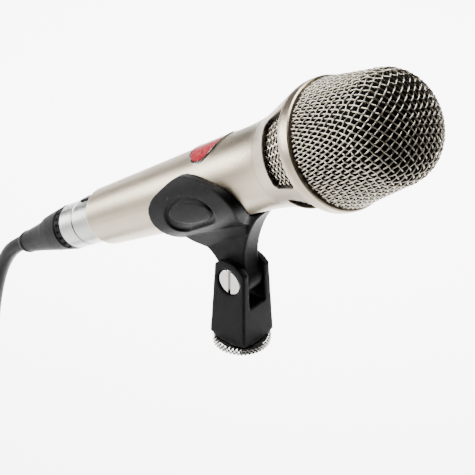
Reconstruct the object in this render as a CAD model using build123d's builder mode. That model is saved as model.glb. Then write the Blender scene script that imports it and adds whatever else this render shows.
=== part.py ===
"""Stage microphone in its stand clip, with its lead plugged in. Millimetres, +Z up.

The origin is the mouth of the stand thread and Z is the stand's axis. The microphone leans in the
XZ plane. Stations along it are counted from the tail of the handle towards the nose."""

import os
from math import cos, pi, radians, sin, tan

from build123d import *

os.makedirs("parts", exist_ok=True)

# --- Driving dimensions -------------------------------------------------------------------------
fit_gap = 0.05  # pieces that are pushed or screwed together
run_gap = 0.08  # shafts and pins that turn or slide
free_gap = 0.3  # moving curved faces that only pass each other

# Stand adapter
stand_thread_radius = 4.76
adapter_flange_radius = 10.85
adapter_flange_height = 2.9
adapter_barrel_radius = 7.0
adapter_barrel_height = 13.5

# Clip base, a tapered square block with two ears
base_half_width = 8.8
base_height = 36.1
base_taper = 2.5
base_corner_rise = 1.8
ear_drop = 3.0
ear_gap = 9.0
slot_floor = 20.0
pivot_height = 30.5
pivot_shank_radius = 2.5
screw_head_radius = 5.2
screw_head_height = 1.7
screw_recess = 2.2
screw_slot_width = 1.3
screw_slot_depth = 1.0
nut_flat = 8.0
nut_height = 2.4

# Clip cradle
lean = 35.0  # of the microphone's axis above the horizontal
pivot_station = 61.2
axis_above_pivot = 36.8
barrel_radius = 6.8
barrel_width = 8.4
saddle_wall = 3.0
saddle_rear = 42.0
saddle_front = 97.0
wing_bevel_inside = 9.0  # a wing's front edge runs forward from its outside to here, off the middle
wing_front_outside = [  # along from the saddle's front, height over the microphone's axis
    (-20.8, 8.2),
    (-16.0, 6.7),
    (-12.2, 5.0),
    (-9.2, 3.4),
    (-6.4, 1.6),
    (-4.9, -0.1),
    (-3.9, -2.3),
    (-3.6, -4.4),
    (-3.9, -6.5),
    (-7.0, -10.3),
    (-11.9, -13.3),
    (-16.0, -17.0),
    (-18.5, -22.0),
]
wing_front_inside = [
    (-20.8, 8.2),
    (-16.0, 6.7),
    (-12.2, 5.0),
    (-9.0, 3.4),
    (-5.0, 1.6),
    (-1.4, -0.1),
    (2.1, -2.3),
    (2.6, -4.4),
    (2.3, -6.5),
    (-0.8, -10.3),
    (-5.9, -13.3),
    (-12.0, -17.0),
    (-16.5, -22.0),
]
wing_rear = [  # along from the saddle's rear, height over the axis
    (25.0, 8.5),
    (17.3, 6.4),
    (9.3, 3.4),
    (5.4, -0.4),
    (3.6, -6.0),
    (3.9, -11.0),
    (9.0, -19.0),
]
wing_foot = -30.0  # below the handle, where the wings' side view is cut off
wing_foot_rear = 12.0
wing_foot_front = -17.0
recess_depth = 0.9
recess_outline = [
    (11.9, -8.2),
    (14.5, -3.0),
    (20.3, 0.7),
    (26.5, 1.6),
    (34.0, 0.9),
    (39.8, -1.8),
    (41.5, -6.0),
    (38.5, -10.0),
    (30.5, -12.0),
    (20.0, -12.3),
    (13.4, -11.4),
]
pad_centre = (70.2, -5.1)
pad_half_length = 11.8
pad_half_width = 4.75
pad_slope = -4.0
shoulder_half_width = 9.5
shoulder_foot = 22.0
shoulder_top = 13.5
shoulder_outline = [
    (9.0, -17.0),
    (12.5, -22.5),
    (36.8, -22.5),
    (41.0, -17.0),
    (42.5, -13.0),
    (9.0, -13.0),
]

# Handle
tail_radius = 11.6
tail_rounding = 2.6
handle_taper = 0.041
handle_wall = 2.0
flare_station = 100.0
seam_station = 114.0
seam_radius = 17.1
seam_gap = 0.1
neck_bore_radius = 14.6
neck_bore_depth = 11.0
socket_radius = 9.7
socket_depth = 17.0
insert_thickness = 8.0

# Head
vent_rear = 122.3
vent_front = 136.3
vent_rear_radius = 19.3
vent_middle_radius = 21.45
vent_front_radius = 23.6
vent_sweep = 74.0
vent_turn = -22.0
vent_corner = 2.2
lining_overlap = 2.5  # how far the vents' lining reaches behind them
head_wall = 1.5
collar_radius = 24.0
collar_front = 142.0
collar_step = 2.7
spigot_length = 8.0
spigot_wall = 2.0
spigot_gap = 0.1

# Grille basket
groove = 0.9
rim_radius = 23.3
shoulder_station = 165.0
shoulder_radius = 20.65
nose_length = 15.6
dome_power = 2.34
grille_thickness = 1.3
fine_mesh_thickness = 0.4
foam_thickness = 2.2
layer_gap = 0.3
ring_wall = 1.4

# Capsule
capsule_station = 147.0
capsule_radius = 14.0
capsule_depth = 15.0
capsule_wall = 1.2
magnet_radius = capsule_radius - 6.5
magnet_height = 5.0
pole_height = 2.5
yoke_radius = capsule_radius - 3.0
coil_gap_width = 1.6
carrier_radius = capsule_radius - 2.5
carrier_wall = 1.2
carrier_rear = 95.0

# Inside the handle
can_radius = 11.3
can_rear = 64.0
can_length = 26.0
can_wall = 0.5
board_width = 16.0
board_length = 25.0
board_thickness = 1.6
board_rear = 31.0

# Badge on the top of the handle
badge_station = 80.0
badge_half_length = 9.4
badge_half_width = 10.2
badge_rim_width = 0.7
badge_height = 0.45

# Three-pin connectors
pin_radius = 1.2
pin_circle = 4.75
pin_length = 13.5
plug_radius = 9.4
plug_wall = 1.4
plug_reach = 15.0
plug_visible = 21.8
boot_length = 39.5
boot_end_radius = 4.2
lead_radius = 3.25
latch_width = 5.0
latch_length = 8.0
latch_proud = 0.6

# The coil that the rest of the lead is wound into
coil_radius = 39.0
coil_bundle = 16.8
coil_centre = (-176.5, -17.2, -232.0)
tie_thickness = 1.2
tie_sweep = 28.0

# --- Planes -------------------------------------------------------------------------------------
ahead = Vector(cos(radians(lean)), 0, sin(radians(lean)))
upward = Vector(-sin(radians(lean)), 0, cos(radians(lean)))
side = Vector(0, -1, 0)
pivot = Vector(0, 0, pivot_height)
tail = pivot - ahead * pivot_station + upward * axis_above_pivot
mic_axis = Axis(tail, ahead)
mic_plane = Plane(origin=tail, x_dir=side, z_dir=ahead)
mic_section = Plane(origin=tail, x_dir=side, z_dir=upward)
mic_side = Plane(origin=tail, x_dir=ahead, z_dir=side)
pin_spots = [(pin_circle * cos(radians(a)), pin_circle * sin(radians(a))) for a in (30, 150, 270)]


def station(distance):
    """Plane across the microphone at this station."""
    return mic_plane.offset(distance)


def handle_radius(distance):
    """Outside of the handle's straight taper."""
    return tail_radius + handle_taper * distance


def save(piece, name):
    """Name the finished piece and write it."""
    piece.part.label = name
    export_step(piece.part, f"parts/{name}.step")


# --- Stand adapter: knurled flange and threaded barrel ------------------------------------------
with BuildPart() as stand_adapter:
    Cylinder(adapter_flange_radius, adapter_flange_height, align=(Align.CENTER, Align.CENTER, Align.MIN))
    chamfer(stand_adapter.edges().filter_by(GeomType.CIRCLE), 0.35)
    with BuildSketch(Plane.XY.offset(adapter_flange_height)):
        Circle(adapter_barrel_radius)
    extrude(amount=adapter_barrel_height)
    Hole(stand_thread_radius)
save(stand_adapter, "stand_adapter")

# --- Clip base: square block, slot between two ears, bore for the adapter -------------------------
base_bottom = adapter_flange_height + fit_gap
base_top = base_bottom + base_height
ear_half = base_half_width - base_height * tan(radians(base_taper))
ear_face = base_half_width - (pivot_height - base_bottom) * tan(radians(base_taper))
nut_plane = Plane(origin=(0, ear_face - nut_height, pivot_height), x_dir=(1, 0, 0), z_dir=(0, 1, 0))
with BuildPart() as clip_base:
    with BuildSketch(Plane.XY.offset(base_bottom)):
        Rectangle(2 * base_half_width, 2 * base_half_width)
    extrude(amount=base_height, taper=base_taper)
    fillet(clip_base.edges().filter_by(Axis.Z, tolerance=8), 0.6)
    with BuildSketch(Plane.XZ):
        with BuildLine():
            corner = base_half_width * 2**0.5
            Polyline(
                (0, base_bottom),
                (base_half_width, base_bottom),
                (corner, base_bottom + base_corner_rise),
                (2 * corner, base_bottom + 2.5 * base_corner_rise),
                (2 * corner, base_top + 1),
                (0, base_top + 1),
                close=True,
            )
        make_face()
    revolve(axis=Axis.Z, mode=Mode.INTERSECT)
    with BuildSketch(Plane.XZ):
        with BuildLine():
            ThreePointArc((-ear_half, base_top - ear_drop), (0, base_top), (ear_half, base_top - ear_drop))
            Polyline(
                (ear_half, base_top - ear_drop),
                (2 * base_half_width, base_top - 3 * ear_drop),
                (2 * base_half_width, 0),
                (-2 * base_half_width, 0),
                (-2 * base_half_width, base_top - 3 * ear_drop),
                (-ear_half, base_top - ear_drop),
            )
        make_face()
    extrude(amount=2 * base_half_width, both=True, mode=Mode.INTERSECT)
    with BuildSketch(Plane.YZ):
        with BuildLine():
            Polyline(
                (-ear_gap / 2, slot_floor),
                (ear_gap / 2, slot_floor),
                (ear_gap / 2, base_top + 1),
                (-ear_gap / 2, base_top + 1),
                close=True,
            )
        make_face()
    extrude(amount=2 * base_half_width, both=True, mode=Mode.SUBTRACT)
    with BuildSketch(Plane.XY.offset(base_bottom)):
        Circle(adapter_barrel_radius + run_gap)
    extrude(amount=adapter_barrel_height + free_gap, mode=Mode.SUBTRACT)
    with BuildSketch(Plane(origin=pivot, x_dir=(1, 0, 0), z_dir=(0, -1, 0))):
        Circle(pivot_shank_radius + run_gap)
    extrude(amount=2 * base_half_width, both=True, mode=Mode.SUBTRACT)
    recess_floor = Vector(0, screw_recess - ear_face, pivot_height)
    with BuildSketch(Plane(origin=recess_floor, x_dir=(1, 0, 0), z_dir=(0, -1, 0))):
        Circle(screw_head_radius + free_gap)
    extrude(amount=2 * screw_recess, mode=Mode.SUBTRACT)
    with BuildSketch(nut_plane):
        RegularPolygon(nut_flat / 2 + fit_gap, 6, major_radius=False)
    extrude(amount=2 * nut_height, mode=Mode.SUBTRACT)
save(clip_base, "clip_base")

# --- Pivot screw and nut -------------------------------------------------------------------------
screw_seat = -(ear_face - screw_recess) - fit_gap
with BuildPart() as pivot_screw:
    with BuildSketch(Plane(origin=(0, screw_seat, pivot_height), x_dir=(1, 0, 0), z_dir=(0, -1, 0))):
        Circle(screw_head_radius)
    extrude(amount=screw_head_height)
    chamfer(pivot_screw.edges().filter_by(GeomType.CIRCLE).sort_by(Axis.Y)[0], 0.3)
    with BuildSketch(Plane(origin=(0, screw_seat, pivot_height), x_dir=(1, 0, 0), z_dir=(0, 1, 0))):
        Circle(pivot_shank_radius)
    extrude(amount=ear_face - screw_seat - 0.5)
    with BuildSketch(
        Plane(origin=(0, screw_seat - screw_head_height, pivot_height), x_dir=(1, 0, 0), z_dir=(0, 1, 0))
    ):
        Rectangle(screw_slot_width, 3 * screw_head_radius)
    extrude(amount=screw_slot_depth, mode=Mode.SUBTRACT)
save(pivot_screw, "pivot_screw")

with BuildPart() as pivot_nut:
    with BuildSketch(nut_plane.offset(fit_gap)):
        RegularPolygon(nut_flat / 2, 6, major_radius=False)
        Circle(pivot_shank_radius + run_gap, mode=Mode.SUBTRACT)
    extrude(amount=nut_height - 2 * fit_gap - 0.2)
save(pivot_nut, "pivot_nut")

# --- Clip cradle: saddle round the handle, neck and pivot barrel ----------------------------------
def saddle_radius(distance):
    """Outside of the saddle's wall."""
    return handle_radius(distance) + free_gap + saddle_wall


with BuildPart(mode=Mode.PRIVATE) as handle_space:
    with BuildSketch(mic_section):
        with BuildLine():
            Polyline(
                (0, saddle_rear - 10),
                (handle_radius(saddle_rear - 10) + free_gap, saddle_rear - 10),
                (handle_radius(saddle_front + 10) + free_gap, saddle_front + 10),
                (0, saddle_front + 10),
                close=True,
            )
        make_face()
    revolve(axis=mic_axis)

with BuildPart(mode=Mode.PRIVATE) as thumb_recess:
    with BuildSketch(mic_section):
        with BuildLine():
            Polyline(
                (saddle_radius(saddle_rear) - recess_depth, saddle_rear),
                (saddle_radius(saddle_rear) + recess_depth, saddle_rear),
                (saddle_radius(saddle_front) + recess_depth, saddle_front),
                (saddle_radius(saddle_front) - recess_depth, saddle_front),
                close=True,
            )
        make_face()
    revolve(axis=mic_axis)
    with BuildSketch(mic_side):
        with BuildLine():
            Spline(*[(saddle_rear + along, height) for along, height in recess_outline], periodic=True)
        make_face()
        with Locations(Location(pad_centre, pad_slope)):
            Ellipse(pad_half_length, pad_half_width, mode=Mode.SUBTRACT)
    extrude(amount=2 * saddle_radius(saddle_front), mode=Mode.INTERSECT)


def wing_outline(front):
    """Lines of a wing's side view, from the points of its front edge round to its rear."""
    edge = Spline(*[(saddle_front + along, height) for along, height in front])
    rear = Spline(edge @ 0, *[(saddle_rear + along, height) for along, height in wing_rear])
    foot = [(saddle_rear + wing_foot_rear, wing_foot), (saddle_front + wing_foot_front, wing_foot)]
    Polyline(rear @ 1, *foot, edge @ 1)


def wing_block(reach):
    """Side view of a wing, thick enough for the saddle, its front edge running forward inwards."""
    with BuildPart(mode=Mode.PRIVATE) as block:
        for depth, front in ((reach, wing_front_outside), (wing_bevel_inside, wing_front_inside)):
            with BuildSketch(mic_side.offset(depth)):
                with BuildLine():
                    wing_outline(front)
                make_face()
        loft(ruled=True)
        with BuildSketch(mic_side):
            with BuildLine():
                wing_outline(wing_front_inside)
            make_face()
        extrude(amount=wing_bevel_inside)
    return block.part


with BuildPart() as clip_cradle:
    with BuildSketch(mic_section):
        with BuildLine():
            Polyline(
                (0, saddle_rear),
                (saddle_radius(saddle_rear), saddle_rear),
                (saddle_radius(saddle_front), saddle_front),
                (0, saddle_front),
                close=True,
            )
        make_face()
    revolve(axis=mic_axis)
    near_wing = wing_block(saddle_radius(saddle_front) + free_gap)
    add(near_wing + near_wing.mirror(Plane.XZ), mode=Mode.INTERSECT)
    with BuildPart(mode=Mode.PRIVATE) as shoulder:
        with BuildSketch(mic_side):
            with BuildLine():
                Polyline(*[(saddle_rear + along, height) for along, height in shoulder_outline], close=True)
            make_face()
        extrude(amount=shoulder_half_width, both=True)
        with BuildSketch(station(saddle_rear)):
            with BuildLine():
                Polyline(
                    (-barrel_width / 2, shoulder_foot),
                    (barrel_width / 2, shoulder_foot),
                    (shoulder_half_width, shoulder_top),
                    (-shoulder_half_width, shoulder_top),
                    close=True,
                )
            make_face()
        extrude(amount=saddle_front - saddle_rear, mode=Mode.INTERSECT)
    add(shoulder.part)
    with BuildSketch(Plane.XZ):
        with BuildLine():
            front = Spline(
                (barrel_radius * 0.9, pivot_height + 3),
                (4.6, pivot_height + 11),
                (6.2, pivot_height + 21),
                (9.3, pivot_height + 29),
                (15.0, pivot_height + 36.5),
            )
            rear = Spline(
                (-25, pivot_height + 10.6),
                (-19.5, pivot_height + 9.0),
                (-13.5, pivot_height + 8.0),
                (-9.4, pivot_height + 5.0),
                (-barrel_radius * 0.95, pivot_height + 2),
            )
            Polyline(front @ 1, (-10, pivot_height + 30), rear @ 0)
            Polyline(rear @ 1, (0, pivot_height - 2), front @ 0)
        make_face()
    extrude(amount=barrel_width / 2, both=True)
    with BuildSketch(Plane(origin=pivot, x_dir=(1, 0, 0), z_dir=(0, -1, 0))):
        Circle(barrel_radius)
    extrude(amount=barrel_width / 2, both=True)
    add(handle_space.part, mode=Mode.SUBTRACT)
    with BuildSketch(Plane(origin=pivot, x_dir=(1, 0, 0), z_dir=(0, -1, 0))):
        Circle(pivot_shank_radius + run_gap)
    extrude(amount=barrel_width, both=True, mode=Mode.SUBTRACT)
    add(thumb_recess.part, mode=Mode.SUBTRACT)
    add(thumb_recess.part.mirror(Plane.XZ), mode=Mode.SUBTRACT)
save(clip_cradle, "clip_cradle")

# --- Handle: tapered tube, flared towards the head, with the connector's socket in its tail --------
insert_front = socket_depth + insert_thickness
with BuildPart() as handle_shell:
    with BuildSketch(mic_section):
        with BuildLine():
            lip = Line((socket_radius, 0), (tail_radius - 1.5, 0))
            round_end = (handle_radius(tail_rounding), tail_rounding)
            rounding = ThreePointArc(lip @ 1, (tail_radius - 0.35, 0.3 * tail_rounding), round_end)
            taper = Line(rounding @ 1, (handle_radius(flare_station), flare_station))
            flare = Spline(
                taper @ 1,
                (handle_radius(flare_station) + 0.5, (flare_station + seam_station) / 2),
                (seam_radius, seam_station - seam_gap),
                tangents=[(handle_taper, 1), (0.19, 1)],
            )
            Polyline(
                flare @ 1,
                (neck_bore_radius, seam_station - seam_gap),
                (neck_bore_radius, seam_station - neck_bore_depth),
                (handle_radius(seam_station - neck_bore_depth) - handle_wall, seam_station - neck_bore_depth),
                (handle_radius(insert_front + 4) - handle_wall, insert_front + 4),
                (socket_radius, insert_front + 2),
                lip @ 0,
            )
        make_face()
    revolve(axis=mic_axis)
    screw_station = socket_depth + insert_thickness / 2
    with BuildSketch(Plane(origin=tail + ahead * screw_station, x_dir=ahead, z_dir=-upward)):
        Circle(1.3)
    extrude(amount=2 * tail_radius, mode=Mode.SUBTRACT)
save(handle_shell, "handle_shell")

with BuildPart() as insert_screw:
    screw_seat_plane = Plane(origin=tail + ahead * screw_station, x_dir=ahead, z_dir=-upward)
    with BuildSketch(screw_seat_plane.offset(socket_radius + fit_gap)):
        Circle(1.25)
    extrude(amount=handle_radius(screw_station) - socket_radius - 0.4)
    with BuildSketch(screw_seat_plane.offset(handle_radius(screw_station) - 0.35)):
        RegularPolygon(0.65, 6)
    extrude(amount=-1.2, mode=Mode.SUBTRACT)
save(insert_screw, "insert_screw")

# --- Badge: a thin oval plate bent to the handle, in its own bezel ---------------------------------
def badge_layer(name, half_length, half_width, opening, height):
    """One bent oval layer of the badge, with an oval opening if it is the bezel."""
    with BuildPart() as layer:
        near, far = badge_station - 2 * badge_half_length, badge_station + 2 * badge_half_length
        with BuildSketch(mic_section):
            with BuildLine():
                Polyline(
                    (handle_radius(near) + 0.02, near),
                    (handle_radius(near) + height, near),
                    (handle_radius(far) + height, far),
                    (handle_radius(far) + 0.02, far),
                    close=True,
                )
            make_face()
        revolve(axis=mic_axis)
        with BuildSketch(Plane(origin=tail + ahead * badge_station, x_dir=ahead, z_dir=upward)):
            Ellipse(half_length, half_width)
            if opening:
                Ellipse(*opening, mode=Mode.SUBTRACT)
        extrude(amount=2 * handle_radius(far), mode=Mode.INTERSECT)
    save(layer, name)


badge_layer("badge_enamel", badge_half_length, badge_half_width, None, badge_height - 0.1)
badge_layer(
    "badge_bezel",
    badge_half_length + badge_rim_width,
    badge_half_width + badge_rim_width,
    (badge_half_length + fit_gap, badge_half_width + fit_gap),
    badge_height,
)

# --- Head shell: flared ring with four vents and the collar ----------------------------------------
with BuildPart(mode=Mode.PRIVATE) as vent_cutter:
    start = radians(vent_turn - vent_sweep / 2)
    across = mic_plane.from_local_coords(Vector(cos(start), sin(start), 0)) - tail
    with BuildSketch(Plane(origin=tail, x_dir=across, z_dir=across.cross(ahead))):
        with BuildLine():
            Polyline(
                (spigot_wall + 10, vent_rear),
                (collar_radius + 5, vent_rear),
                (collar_radius + 5, vent_front),
                (spigot_wall + 10, vent_front),
                close=True,
            )
        make_face()
    revolve(axis=mic_axis, revolution_arc=vent_sweep)
    corners = vent_cutter.edges().filter_by(GeomType.LINE).filter_by(mic_axis, reverse=True)
    fillet(corners, vent_corner)

spigot_radius = neck_bore_radius - spigot_gap


def lining_radius(distance):
    """Inside of the head shell's wall along the vents."""
    slope = (collar_radius - vent_rear_radius) / (vent_front + 1 - vent_rear)
    return vent_rear_radius - head_wall + slope * (distance - vent_rear)


with BuildPart() as head_shell:
    with BuildSketch(mic_section):
        with BuildLine():
            flare = Spline(
                (seam_radius, seam_station),
                (vent_rear_radius, vent_rear),
                (vent_middle_radius, (vent_rear + vent_front) / 2),
                (vent_front_radius, vent_front),
                tangents=[(0.19, 1), (0.27, 1)],
            )
            collar = Spline(
                flare @ 1, (collar_radius, vent_front + collar_step), tangents=[(0.27, 1), (0, 1)]
            )
            Polyline(
                collar @ 1,
                (collar_radius, collar_front - 0.5),
                (collar_radius - 0.4, collar_front),
                (collar_radius - head_wall, collar_front),
                (collar_radius - head_wall, vent_front + 1),
                (lining_radius(vent_rear - lining_overlap), vent_rear - lining_overlap),
                (spigot_radius - spigot_wall, seam_station - 1),
                (spigot_radius - spigot_wall, seam_station - spigot_length),
                (spigot_radius, seam_station - spigot_length),
                (spigot_radius, seam_station),
                flare @ 0,
            )
        make_face()
    revolve(axis=mic_axis)
    for quarter in range(4):
        add(vent_cutter.part.rotate(mic_axis, 90 * quarter), mode=Mode.SUBTRACT)
save(head_shell, "head_shell")


def vent_layer(name, inset, thickness):
    """A band of mesh or cloth that lines the four vents from inside."""
    near, far = vent_rear - lining_overlap + 0.5, vent_front + 0.5
    near_radius, far_radius = lining_radius(near) - inset, lining_radius(far) - inset
    with BuildPart() as layer:
        with BuildSketch(mic_section):
            with BuildLine():
                Polyline(
                    (near_radius, near),
                    (far_radius, far),
                    (far_radius - thickness, far),
                    (near_radius - thickness, near),
                    close=True,
                )
            make_face()
        revolve(axis=mic_axis)
    save(layer, name)


vent_layer("vent_mesh", 0.25, 0.7)
vent_layer("vent_cloth", 1.05, 0.5)

# --- Grille basket: rim ring, outer woven shell, fine mesh and foam --------------------------------
rim_station = collar_front + groove


def dome(inset, start):
    """Outer line of the grille at this depth inside it, from its rim at start to the nose."""
    shoulder = (shoulder_radius - inset, shoulder_station)
    length = nose_length - inset
    bend = [
        (
            shoulder[0] * cos(radians(turn)) ** (2 / dome_power),
            shoulder_station + length * sin(radians(turn)) ** (2 / dome_power),
        )
        for turn in (12, 28, 44, 58, 72)
    ]
    rim = (rim_radius - inset, start)
    slope = (shoulder[0] - rim[0], shoulder[1] - rim[1])
    side_line = Line(rim, shoulder)
    Spline(side_line @ 1, *bend, (0, shoulder_station + length), tangents=[slope, (-1, 0)])
    return rim, (0, shoulder_station + length)


def basket_layer(name, inset, thickness, start):
    """One closed shell of the basket, of this thickness and this far inside its surface."""
    with BuildPart() as layer:
        with BuildSketch(mic_section):
            with BuildLine():
                outer_rim, outer_nose = dome(inset, start)
                inner_rim, inner_nose = dome(inset + thickness, start)
                Line(outer_rim, inner_rim)
                Line(outer_nose, inner_nose)
            make_face()
        revolve(axis=mic_axis)
    save(layer, name)


fine_inset = grille_thickness + layer_gap
foam_inset = fine_inset + fine_mesh_thickness + layer_gap
basket_layer("outer_grille", 0, grille_thickness, rim_station)
basket_layer("fine_mesh", fine_inset, fine_mesh_thickness, rim_station + 1.0)
basket_layer("foam_liner", foam_inset, foam_thickness, rim_station + 1.0)

ring_radius = collar_radius - head_wall - fit_gap
with BuildPart() as basket_ring:
    with BuildSketch(mic_section):
        with BuildLine():
            Polyline(
                (ring_radius - ring_wall, collar_front - 3.5),
                (ring_radius, collar_front - 3.5),
                (ring_radius, rim_station - fit_gap),
                (rim_radius - grille_thickness - layer_gap, rim_station - fit_gap),
                (rim_radius - grille_thickness - layer_gap, rim_station + 0.8),
                (ring_radius - ring_wall, rim_station + 0.8),
                close=True,
            )
        make_face()
    revolve(axis=mic_axis)
save(basket_ring, "basket_ring")


# --- Capsule: moving coil, magnet system and housing on a rubber-hung carrier ----------------------
def disc(name, radius, start, thickness, bore=0.0):
    """A plain turned disc or ring across the microphone."""
    with BuildPart() as piece:
        with BuildSketch(station(start)):
            Circle(radius)
            if bore:
                Circle(bore, mode=Mode.SUBTRACT)
        extrude(amount=thickness)
    save(piece, name)


def cup(name, radius, start, depth, wall, floor):
    """A turned cup, open towards the nose."""
    with BuildPart() as piece:
        with BuildSketch(station(start)):
            Circle(radius)
        extrude(amount=depth)
        with BuildSketch(station(start + floor)):
            Circle(radius - wall)
        extrude(amount=depth, mode=Mode.SUBTRACT)
    save(piece, name)


yoke_floor = capsule_station + capsule_wall + fit_gap
magnet_start = yoke_floor + 2
pole_start = magnet_start + magnet_height + fit_gap
yoke_depth = 2 + magnet_height + fit_gap + pole_height
diaphragm_start = capsule_station + capsule_depth - 1.6
voice_radius = magnet_radius + 0.3 + coil_gap_width / 2
cup("capsule_housing", capsule_radius, capsule_station, capsule_depth, capsule_wall, capsule_wall)
yoke_wall = yoke_radius - magnet_radius - 0.3 - coil_gap_width
cup("magnet_yoke", yoke_radius, yoke_floor, yoke_depth, yoke_wall, 2 - fit_gap)
disc("capsule_magnet", magnet_radius, magnet_start, magnet_height)
disc("pole_piece", magnet_radius + 0.3, pole_start, pole_height)
voice_start = pole_start - 0.5
voice_length = diaphragm_start - voice_start - fit_gap
disc("voice_coil", voice_radius + 0.3, voice_start, voice_length, voice_radius - 0.3)
disc("capsule_felt", capsule_radius - capsule_wall - 0.2, yoke_floor, 1.5, yoke_radius + 0.2)

with BuildPart() as diaphragm:
    with BuildSketch(mic_section):
        with BuildLine():
            edge = capsule_radius - capsule_wall - 0.2
            low = diaphragm_start + 0.2
            Polyline((0, low + 0.9), (0, diaphragm_start), (edge, diaphragm_start), (edge, low))
            ThreePointArc((edge, low), ((edge + voice_radius) / 2, low + 0.6), (voice_radius, low))
            ThreePointArc((voice_radius, low), (voice_radius * 0.6, low + 0.65), (1, low + 0.9))
            Line((1, low + 0.9), (0, low + 0.9))
        make_face()
    revolve(axis=mic_axis)
save(diaphragm, "diaphragm")

with BuildPart() as capsule_cap:
    with BuildSketch(station(capsule_station + capsule_depth + fit_gap)):
        Circle(capsule_radius)
        with PolarLocations(capsule_radius * 0.62, 8):
            Circle(1.9, mode=Mode.SUBTRACT)
        Circle(2.4, mode=Mode.SUBTRACT)
    extrude(amount=capsule_wall)
save(capsule_cap, "capsule_cap")

with BuildPart() as capsule_carrier:
    with BuildSketch(station(carrier_rear)):
        Circle(carrier_radius)
        Circle(carrier_radius - carrier_wall, mode=Mode.SUBTRACT)
    extrude(amount=capsule_station - 2.6 - carrier_rear)
    with BuildSketch(station(carrier_rear)):
        Circle(handle_radius(carrier_rear) - handle_wall - fit_gap)
        Circle(carrier_radius - carrier_wall, mode=Mode.SUBTRACT)
    extrude(amount=3)
    with BuildSketch(mic_section.offset(-carrier_radius * 2)):
        with Locations((0, (seam_station + capsule_station) / 2)):
            SlotOverall(16, 7, rotation=90)
    extrude(amount=carrier_radius * 4, mode=Mode.SUBTRACT)
save(capsule_carrier, "capsule_carrier")
disc("shock_mount", carrier_radius + 2.4, capsule_station - 2.5, 2.4, carrier_radius - carrier_wall - 2)

with BuildPart() as capsule_wires:
    with BuildSketch(station(can_rear + can_length + 2)):
        with Locations((-3, 6), (3, 6)):
            Circle(0.6)
    extrude(amount=capsule_station - can_rear - can_length - 2.5)
save(capsule_wires, "capsule_wires")

# --- Transformer in its screening can, and the output board ----------------------------------------
with BuildPart() as transformer_can:
    with BuildSketch(station(can_rear)):
        Circle(can_radius)
    extrude(amount=can_length)
    with BuildSketch(station(can_rear + can_wall)):
        Circle(can_radius - can_wall)
    extrude(amount=can_length - 2 * can_wall, mode=Mode.SUBTRACT)
save(transformer_can, "transformer_can")

with BuildPart() as transformer_core:
    with BuildSketch(station(can_rear + 4)):
        Rectangle(16, 11)
    extrude(amount=can_length - 8)
    with BuildSketch(station(can_rear + 4 + can_length / 2 - 4).offset(-(can_length - 14) / 2)):
        with Locations((-4.75, 0), (4.75, 0)):
            Rectangle(3.5, 11)
    extrude(amount=can_length - 14, mode=Mode.SUBTRACT)
save(transformer_core, "transformer_core")

with BuildPart() as transformer_winding:
    with BuildSketch(station(can_rear + can_length / 2).offset(-(can_length - 15) / 2)):
        RectangleRounded(12.4, 17.0, 1.5)
        Rectangle(6.1, 11.1, mode=Mode.SUBTRACT)
    extrude(amount=can_length - 15)
save(transformer_winding, "transformer_winding")
cushion_radius = handle_radius(can_rear) - handle_wall - fit_gap
disc("can_cushion", cushion_radius, can_rear + 3, can_length - 6, can_radius + fit_gap)

with BuildPart() as output_board:
    with BuildSketch(station(board_rear)):
        Rectangle(board_width, board_thickness)
    extrude(amount=board_length)
save(output_board, "output_board")

with BuildPart() as output_wires:
    with BuildSketch(station(board_rear + board_length / 2)):
        with Locations((-5, 2.4), (0, 2.4), (5, 2.4)):
            Circle(0.6)
    extrude(amount=can_rear - board_rear - board_length / 2 - fit_gap)
save(output_wires, "output_wires")

# --- Male insert in the handle's tail ---------------------------------------------------------------
disc("socket_insert", socket_radius - fit_gap, socket_depth, insert_thickness)
with BuildPart() as socket_pins:
    with BuildSketch(station(socket_depth - fit_gap)):
        with Locations(pin_spots):
            Circle(pin_radius)
    extrude(amount=-pin_length)
    chamfer(socket_pins.edges().filter_by(GeomType.CIRCLE).group_by(mic_axis)[0], 0.5)
save(socket_pins, "socket_pins")

# --- Lead's plug: shell, latch, insert, contacts, chuck and boot ------------------------------------
latch_rear = -2.0 - latch_length
with BuildPart() as plug_shell:
    with BuildSketch(mic_section):
        with BuildLine():
            Polyline(
                (plug_radius - plug_wall, plug_reach),
                (plug_radius - 0.3, plug_reach),
                (plug_radius, plug_reach - 1),
                (plug_radius, -plug_visible * 0.55),
                (plug_radius - 0.25, -plug_visible * 0.55 - 0.3),
                (plug_radius - 0.25, -plug_visible * 0.55 - 0.8),
                (plug_radius, -plug_visible * 0.55 - 1.1),
                (plug_radius, -plug_visible),
                (plug_radius - plug_wall, -plug_visible),
                close=True,
            )
        make_face()
    revolve(axis=mic_axis)
    with BuildSketch(Plane(origin=tail + ahead * (latch_rear + latch_length / 2), x_dir=ahead, z_dir=upward)):
        RectangleRounded(latch_length + 0.3, latch_width + 0.3, 1)
    extrude(amount=2 * plug_radius, mode=Mode.SUBTRACT)
save(plug_shell, "plug_shell")

with BuildPart() as latch_button:
    latch_plane = Plane(origin=tail + ahead * (latch_rear + latch_length / 2), x_dir=ahead, z_dir=upward)
    with BuildSketch(latch_plane.offset(plug_radius - plug_wall + 0.1)):
        RectangleRounded(latch_length, latch_width, 0.9)
    extrude(amount=plug_wall + latch_proud - 0.1)
    fillet(latch_button.faces().sort_by(Axis(tail, upward))[-1].edges(), 0.35)
save(latch_button, "latch_button")

with BuildPart() as plug_insert:
    with BuildSketch(station(-1.5)):
        Circle(plug_radius - plug_wall - fit_gap)
    extrude(amount=plug_reach - 0.5)
    with BuildSketch(station(-1.5)):
        with Locations(pin_spots):
            Circle(pin_radius + 0.75)
    extrude(amount=plug_reach, mode=Mode.SUBTRACT)
save(plug_insert, "plug_insert")

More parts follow.
